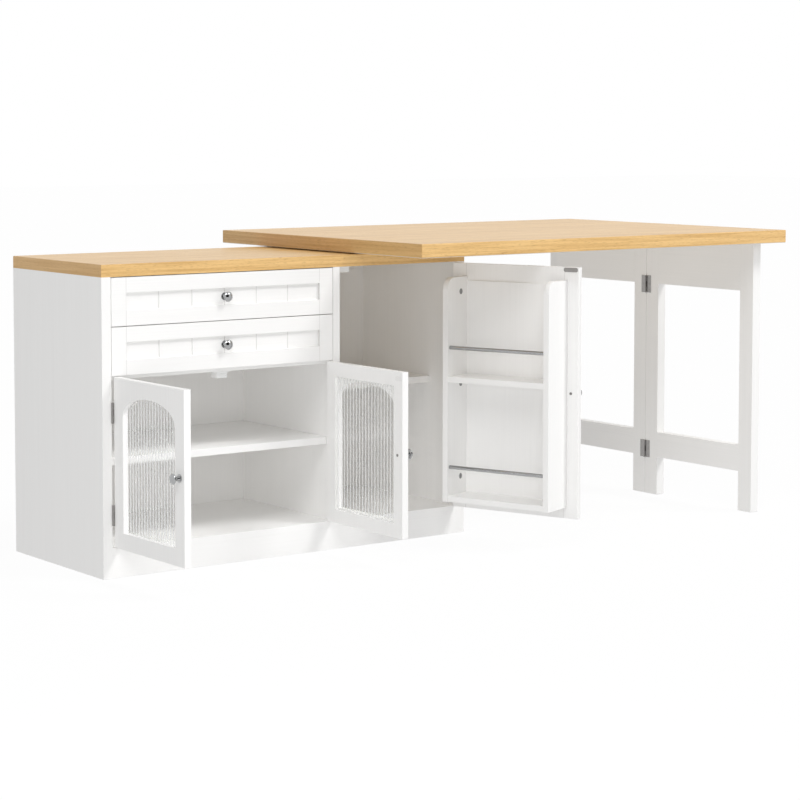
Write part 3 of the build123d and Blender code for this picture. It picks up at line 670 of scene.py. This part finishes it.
# %% Chrome and plated steel
chrome_grey = (0.40, 0.405, 0.41, 1.0)
haze_size = (6.0 * MM, 6.0 * MM, 6.0 * MM)
haze_seen = (0.35, 0.7)
chrome_roughness = (0.05, 0.14)
steel_grey = (0.35, 0.34, 0.33)
steel_shade = 0.82  # of the grey, where it is darkest
roll_line = (30.0 * MM, 0.4 * MM)  # length and width
cloud_size = (12.0 * MM, 12.0 * MM, 12.0 * MM)
plating_seen = (0.1, 0.45)
steel_roughness = (0.28, 0.42)
steel_relief = 0.01 * MM


def bright_chrome():
    """Polished chrome with the faint haze that handling leaves."""
    finish = Finish("bright_chrome")
    finish.constant(Base_Color=chrome_grey, Metallic=1.0)
    haze = finish.noise(finish.place(haze_size), detail=4.0)
    return finish.use(roughness=finish.spread(haze, haze_seen, chrome_roughness))


def plated_steel():
    """Zinc-plated sheet with fine upright lines of rolling, broken up by a soft cloud."""
    finish = Finish("plated_steel")
    finish.constant(Metallic=1.0)
    lines = finish.noise(finish.place(along("Z", *roll_line)), detail=3.0)
    cloud = finish.noise(finish.place(cloud_size), detail=2.0)
    tone = finish.spread(finish.combine("MULTIPLY", lines, cloud), plating_seen, zero_to_one)
    colour = finish.tint(tone, steel_grey, tuple(steel_shade * channel for channel in steel_grey))
    roughness = finish.spread(lines, usual_noise, steel_roughness)
    return finish.use(colour, roughness, lines, depth=steel_relief)


chrome = bright_chrome()
steel = plated_steel()
print("chrome, and plated steel with lines", round(roll_line[1] / MM, 1), "mm wide")

# %% [markdown]
# The smallest parts are the enamelled strike plates on the glass doors, the rack's cast cam locks,
# the moulded catches and pivot bush, and the felt pads that the table glides on. A picture of each
# skin could be used, but at this size one fine noise does: it moves the colour, the gloss and the
# height of the surface together, and only its size and its strength differ.

# %% Enamel, zinc, plastic and felt
def fine_skin(name, grain, detail, pale, dark, roughness, relief, distortion=0.0, **constants):
    """A finish whose one fine noise moves the colour, the gloss and the height together."""
    finish = Finish(name)
    finish.constant(**constants)
    skin = finish.noise(finish.place(grain), detail, distortion)
    gloss = finish.spread(skin, usual_noise, roughness)
    return finish.use(finish.tint(skin, pale, dark), gloss, skin, depth=relief)


# glossier than the boards, with a sprayed skin
enamel = fine_skin(
    "white_enamel", grain=(1.5 * MM, 1.5 * MM, 1.5 * MM), detail=2.0, pale=(0.92, 0.915, 0.905),
    dark=(0.88, 0.875, 0.865), roughness=(0.2, 0.3), relief=0.01 * MM,
)
# die-cast, dull and slightly pitted
zinc = fine_skin(
    "cast_zinc", grain=(0.8 * MM, 0.8 * MM, 0.8 * MM), detail=3.0, pale=(0.46, 0.46, 0.46),
    dark=(0.3, 0.3, 0.3), roughness=(0.38, 0.6), relief=0.05 * MM, Metallic=1.0,
)
# white, with the fine skin that a spark-eroded mould leaves
plastic = fine_skin(
    "moulded_white", grain=(0.6 * MM, 0.6 * MM, 0.6 * MM), detail=2.0, pale=(0.9, 0.9, 0.895),
    dark=(0.86, 0.86, 0.855), roughness=(0.3, 0.45), relief=0.015 * MM,
)
# dark matted fibres with a soft sheen
felt = fine_skin(
    "pressed_felt", grain=(1.2 * MM, 0.5 * MM, 0.8 * MM), detail=4.0, pale=(0.3, 0.29, 0.28),
    dark=(0.16, 0.155, 0.15), roughness=(0.85, 1.0), relief=0.2 * MM, distortion=1.5,
    Sheen_Weight=0.4, Specular_IOR_Level=0.1,
)
print("fine skins:", ", ".join(skin.name for skin in (enamel, zinc, plastic, felt)))

# %% [markdown]
# Each built piece now takes the finish that its record names. They could be given out by hand, one
# at a time, but a loop over the record leaves none out. White boards whose long way is not upright
# take the lacquer with the grain turned to match.

# %% Give each built piece its finish
finishes = {
    "white_paint": upright_white, "white_panel": back_white, "oak_board": oak,
    "fluted_glass": glass, "chrome": chrome, "steel": steel, "painted_steel": enamel,
    "zinc": zinc, "white_plastic": plastic, "felt": felt,
}
along_cabinet = (
    "floor_panel", "plinth_board", "rear_plinth_rail", "drawer_divider", "left_shelf",
    "right_shelf", "upper_drawer_back", "lower_drawer_back", "upper_drawer_bottom",
    "lower_drawer_bottom",
)
front_to_back = ("upper_drawer_sides", "lower_drawer_sides", "near_leaf_rails", "far_leaf_rails")
grain_turned = {
    **dict.fromkeys(along_cabinet, long_white),
    **dict.fromkeys(front_to_back, deep_white),
    "rack_shelves": rack_white,
    "upper_drawer_front": drawer_white,
    "lower_drawer_front": drawer_white,
    "tall_door_panel": tall_white,
}
for part in frame["record"]["subparts"]:
    node = part["node"]
    mesh = frame["nodes"][node].data
    mesh.materials.clear()
    mesh.materials.append(grain_turned.get(node, finishes[part["material_slot"]]))
print(len(frame["nodes"]), "pieces finished,", len(grain_turned), "of them white with the grain turned")

# %% [markdown]
# Sawn and lacquered edges are never knife-sharp: they catch a thin line of light, and two flush
# boards meet in a fine groove. The edges could be shaded to look round, but a real bevel also shows
# in outline. The built meshes are loose triangles, so a Weld joins them first, and the Bevel then
# takes only edges that turn by more than its angle.

# %% Soften the edges
edge_widths = {
    "white_paint": 0.5 * MM,
    "white_panel": 0.2 * MM,
    "oak_board": 0.4 * MM,
    "painted_steel": 0.12 * MM,
    "white_plastic": 0.3 * MM,
}
sharp_turn = math.radians(35.0)
weld_reach = 0.005 * MM
bevel_rows = 2


def soften(piece, width):
    """Round a piece's sharp edges by a small width, without moving its faces."""
    weld = piece.modifiers.new("join_triangles", "WELD")
    weld.merge_threshold = weld_reach
    bevel = piece.modifiers.new("soft_edges", "BEVEL")
    bevel.width = width
    bevel.segments = bevel_rows
    bevel.limit_method = "ANGLE"
    bevel.angle_limit = sharp_turn
    bevel.harden_normals = True
    bevel.use_clamp_overlap = True


softened = [part for part in frame["record"]["subparts"] if part["material_slot"] in edge_widths]
for part in softened:
    soften(frame["nodes"][part["node"]], edge_widths[part["material_slot"]])
print(len(softened), "pieces with softened edges")

# %% [markdown]
# The screws come next. Their places could be typed in, but then they would float as soon as a hinge
# moved. So each built piece is read back. A piece such as the door's hinge leaves holds several
# separate solids in one mesh, and each of them has its own screws, so the triangles are sorted into
# those solids first.

# %% Sort a built piece into its solids
def solids_of(node):
    """The separate solids of a built piece, each as an array of triangles x 3 corners x XYZ.

    Every corner starts with its own number, and each triangle passes the lowest number among its
    corners on to the others until nothing changes. Triangles with one number are one solid.
    """
    mesh = frame["nodes"][node].data
    points = np.empty(len(mesh.vertices) * 3)
    mesh.vertices.foreach_get("co", points)
    mesh.calc_loop_triangles()
    corners = np.empty(len(mesh.loop_triangles) * 3, np.int64)
    mesh.loop_triangles.foreach_get("vertices", corners)
    points = points.reshape(-1, 3)
    rounded = np.round(points / same_place).astype(np.int64)
    _, same = np.unique(rounded, axis=0, return_inverse=True)
    triangles = same.reshape(-1)[corners].reshape(-1, 3)
    number = np.arange(triangles.max() + 1)
    while True:
        lowest = number[triangles].min(axis=1)
        passed_on = number.copy()
        np.minimum.at(passed_on, triangles, lowest[:, None])
        if np.array_equal(passed_on, number):
            break
        number = passed_on
    shapes, labels = points[corners].reshape(-1, 3, 3), number[triangles[:, 0]]
    return [shapes[labels == label] for label in np.unique(labels)]


door_leaves = solids_of("left_door_hinge_leaves")
print("the left door carries", len(door_leaves), "hinge leaves")

# %% [markdown]
# A screw sits on a flat side of its plate. Which side that is could be looked up for every plate,
# but one rule finds them all: it is the broadest flat side that looks away from the wood that the
# plate is screwed to. Its middle, its directions and its size then say where the screws go.

# %% Find the flat side that takes the screws
direction_steps = 100  # normals that round to the same hundredth count as one direction
height_step = 0.05 * MM
east, north, top = np.eye(3)  # unit vectors along X, Y and Z


def flat_side(solid, wood=()):
    """The broadest flat side of a solid that looks away from the nearest of some wooden pieces.

    Triangles with the same normal at the same height along it are one side, and a side's breadth
    is the sum of their areas. Returns its middle, the way along it that leads away from the solid's
    thick part, the way up it, the way out of it, and its half sizes along the first two. With no
    wood, any side will do.
    """
    normals = np.cross(solid[:, 1] - solid[:, 0], solid[:, 2] - solid[:, 0])
    areas = np.linalg.norm(normals, axis=1)
    solid, normals, areas = solid[areas > 0], normals[areas > 0], areas[areas > 0]
    normals = normals / areas[:, None]
    heights = (normals * solid[:, 0]).sum(axis=1)
    keys = np.column_stack([normals * direction_steps, heights / height_step])
    sides, member = np.unique(np.round(keys).astype(np.int64), axis=0, return_inverse=True)
    totals = np.bincount(member.reshape(-1), weights=areas)
    here = solid.reshape(-1, 3).mean(axis=0)
    if wood:
        boxes = [np.array(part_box(node)) for node in wood]
        apart = [np.maximum(0, np.maximum(low - here, here - high)).sum() for low, high in boxes]
        inward = boxes[int(np.argmin(apart))].mean(axis=0) - here
        totals[sides[:, :3] @ inward > 0] = 0
    side = solid[member.reshape(-1) == np.argmax(totals)]
    outward = sides[np.argmax(totals), :3] / direction_steps
    outward = outward / np.linalg.norm(outward)
    upward = top if abs(outward[2]) < facing_limit else north
    across = np.cross(upward, outward)
    corners = side.reshape(-1, 3)
    span = np.array([[f(corners @ way) for f in (np.min, np.max)] for way in (across, upward)])
    middle = (
        across * span[0].mean() + upward * span[1].mean() + outward * (corners @ outward).mean()
    )
    if (here - middle) @ across > 0:
        across = -across
    return middle, across, upward, outward, (span[:, 1] - span[:, 0]) / 2


leaf_size = flat_side(door_leaves[0], ["left_door_frame"])[4] * 2
print("a hinge leaf's flat side measures", np.round(leaf_size / MM, 1), "mm")

# %% [markdown]
# A cross-slot screw is a low dome with two crossing slots pressed into it. A plain disc could pass
# for one from far away, but close by the slots are what the eye looks for. The head is a square grid
# that is squeezed into a circle, with grid lines laid just inside and outside of every slot wall.

# %% Screws
slot_half_width = 0.13  # of the head's radius, like the next three
slot_wall = 0.04
slot_reach = 0.56
rim_width = 0.06
dome_fall = 0.6  # of the head's rise, from its middle to its rim
slot_depth = 0.75  # of the head's rise, where the slots cross
slot_slope = 0.4  # share of that depth that is lost by the slots' ends
seat_depth = 0.5 * MM  # how far a head reaches below the face that it sits on
half_lines = np.array([
    slot_half_width, slot_half_width + slot_wall, slot_reach, slot_reach + slot_wall, 1 - rim_width, 1,
])
head_lines = np.concatenate([-half_lines[::-1], [0.0], half_lines])
turn_step = math.radians(137.5)  # between one screw's slots and the next one's


def screw_heads(name, seats, radius, rise, body, slot="steel"):
    """Cross-slot screw heads on flat seats, as one piece.

    u and v run over the square from -1 to 1, and x = u sqrt(1 - v*v/2), y = v sqrt(1 - u*u/2)
    squeeze it into a circle. The dome falls towards the rim as the square of the distance from the
    middle, then drops into the seat. A slot is where the smaller of u and v is within its half
    width and the larger within its reach, and it is deepest in the middle. A second grid closes the
    head below.
    """
    u, v = np.meshgrid(head_lines, head_lines)
    x, y = u * np.sqrt(1 - v**2 / 2), v * np.sqrt(1 - u**2 / 2)
    smaller, larger = np.minimum(abs(u), abs(v)), np.maximum(abs(u), abs(v))
    dome = rise * (1 - dome_fall * (x**2 + y**2))
    in_slot = (smaller <= slot_half_width) & (larger <= slot_reach)
    dome -= np.where(in_slot, slot_depth * rise * (1 - slot_slope * larger / slot_reach), 0)
    dome[larger > 1 - rim_width / 2] = -seat_depth
    below = np.full_like(dome, -seat_depth)
    heads = np.stack([np.stack([x * radius, y * radius, z], axis=-1) for z in (dome, below)])
    places, frames = [], []
    for index, (middle, across, upward, outward) in enumerate(seats):
        turned = across * math.cos(index * turn_step) + upward * math.sin(index * turn_step)
        places.append(middle)
        frames.append([turned, np.cross(outward, turned), outward])
    grids = np.einsum("hrci,sij->shrcj", heads, np.array(frames))
    grids = grids + np.array(places)[:, None, None, None]
    piece = mesh_of_grids(name, grids.reshape(-1, *grids.shape[2:]))
    piece.data.materials.append(finishes[slot])
    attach(piece, body)
    print(name, "made, heads:", len(seats))
    return piece


def seats_on(node, wood, shares):
    """Seats on each solid of a built piece, at shares of its flat side's half sizes."""
    seats = []
    for solid in solids_of(node):
        middle, across, upward, outward, half = flat_side(solid, wood)
        seats += [
            (middle + s * half[0] * across + t * half[1] * upward, across, upward, outward)
            for s, t in shares
        ]
    return seats


# %% [markdown]
# Each hinge leaf is held by three screws in a row, a little nearer to its free edge than to the
# knuckles. Taller heads would hold as well, but these stand only 0.6 mm proud, which leaves room for
# the two leaves to close on each other.

# %% Hinge screws
hinge_screw_radius = 2.9 * MM
hinge_screw_rise = 0.6 * MM
hinge_row = [(0.33, share) for share in (-0.68, 0.0, 0.68)]
hinge_leaves = {
    "door_hinge_fixed_leaves": (
        "cabinet", ("left_side_panel", "centre_partition", "right_side_panel"),
    ),
    "left_door_hinge_leaves": ("left_door", ("left_door_frame",)),
    "right_door_hinge_leaves": ("right_door", ("right_door_frame",)),
    "tall_door_hinge_leaves": ("tall_door", ("tall_door_panel",)),
    "fold_hinge_fixed_leaves": ("table", ("far_leaf_legs",)),
    "fold_hinge_moving_leaves": ("near_leaf", ("near_leaf_legs",)),
}
for node, (body, wood) in hinge_leaves.items():
    seats = seats_on(node, wood, hinge_row)
    screw_heads(f"{node}_screws", seats, hinge_screw_radius, hinge_screw_rise, body)

# %% [markdown]
# A knob is held by one screw from behind, with a low pan head. Its place could be measured on the
# door, but the knob already gives it: the knob's flat base gives the line that the screw follows
# through the wood, and the wood's far side along that line gives the depth.

# %% Knob screws
knob_screw_radius = 3.6 * MM
knob_screw_rise = 1.8 * MM
knobs = {
    "upper_drawer": "upper_drawer_front", "lower_drawer": "lower_drawer_front",
    "left_door": "left_door_frame", "right_door": "right_door_frame", "tall_door": "tall_door_panel",
}
for body, wood in knobs.items():
    base, across, upward, inward, _ = flat_side(solids_of(f"{body}_knob")[0])
    corners = np.concatenate(solids_of(wood)).reshape(-1, 3)
    # 0.7 mm too much on the turned tall door, because flat_side rounds the direction
    thickness = ((corners - base) @ inward).max()
    seat = (base + thickness * inward, across, upward, inward)
    screw_heads(f"{body}_knob_screw", [seat], knob_screw_radius, knob_screw_rise, body)
    print(body, "knob screw goes through", round(thickness / MM, 1), "mm of wood")

# %% [markdown]
# A catch hangs from the board above it by a thin foot, with a screw up through an ear at each end.
# The rule for flat sides finds one side of a whole solid, and the ears lie apart. So their places
# follow from the box of each catch: halfway along each ear, on the underside of the foot.

# %% Catch screws
small_screw_radius = 2.8 * MM
small_screw_rise = 1.0 * MM
catch_ear = 7.0 * MM
catch_foot = 2.0 * MM

seats = []
for solid in solids_of("magnetic_catches"):
    low, high = solid.min(axis=(0, 1)), solid.max(axis=(0, 1))
    for x in (low[0] + catch_ear / 2, high[0] - catch_ear / 2):
        place = np.array([x, (low[1] + high[1]) / 2, high[2] - catch_foot])
        seats.append((place, east, north, -top))
screw_heads("catch_screws", seats, small_screw_radius, small_screw_rise, "cabinet")

# %% [markdown]
# The brackets under the table are bent from sheet, with one wall against the leg frame and one
# against the oak, and each wall takes one screw. The rule for flat sides would find only one of the
# two walls. So here too the places follow from each bracket's box, a fixed way in from its ends.

# %% Bracket screws
bracket_wall = 2.0 * MM
bracket_hole = 12.0 * MM  # from the ends of its walls

seats = []
for solid in solids_of("leaf_brackets"):
    low, high = solid.min(axis=(0, 1)), solid.max(axis=(0, 1))
    middle_y = (low[1] + high[1]) / 2
    on_frame = np.array([low[0] + bracket_wall, middle_y, low[2] + bracket_hole])
    on_table = np.array([high[0] - bracket_hole, middle_y, high[2] - bracket_wall])
    seats += [(on_frame, north, top, east), (on_table, east, north, -top)]
screw_heads("bracket_screws", seats, small_screw_radius, small_screw_rise, "table")

# %% [markdown]
# Each drawer runner is screwed to the carcase and each inner slide to the drawer's side, with three
# screws along the middle of its broad web. They could follow from the boxes as well, but a web is a
# flat side that looks away from the wood, so the rule that places the hinges' screws finds it.

# %% Runner screws
runner_row = [(share, 0.0) for share in (-0.8, 0.0, 0.8)]
runners = {
    "drawer_runners": ("cabinet", ("left_side_panel", "centre_partition")),
    "upper_drawer_slides": ("upper_drawer", ("upper_drawer_sides",)),
    "lower_drawer_slides": ("lower_drawer", ("lower_drawer_sides",)),
}
for node, (body, wood) in runners.items():
    seats = seats_on(node, wood, runner_row)
    screw_heads(f"{node}_screws", seats, small_screw_radius, small_screw_rise, body)
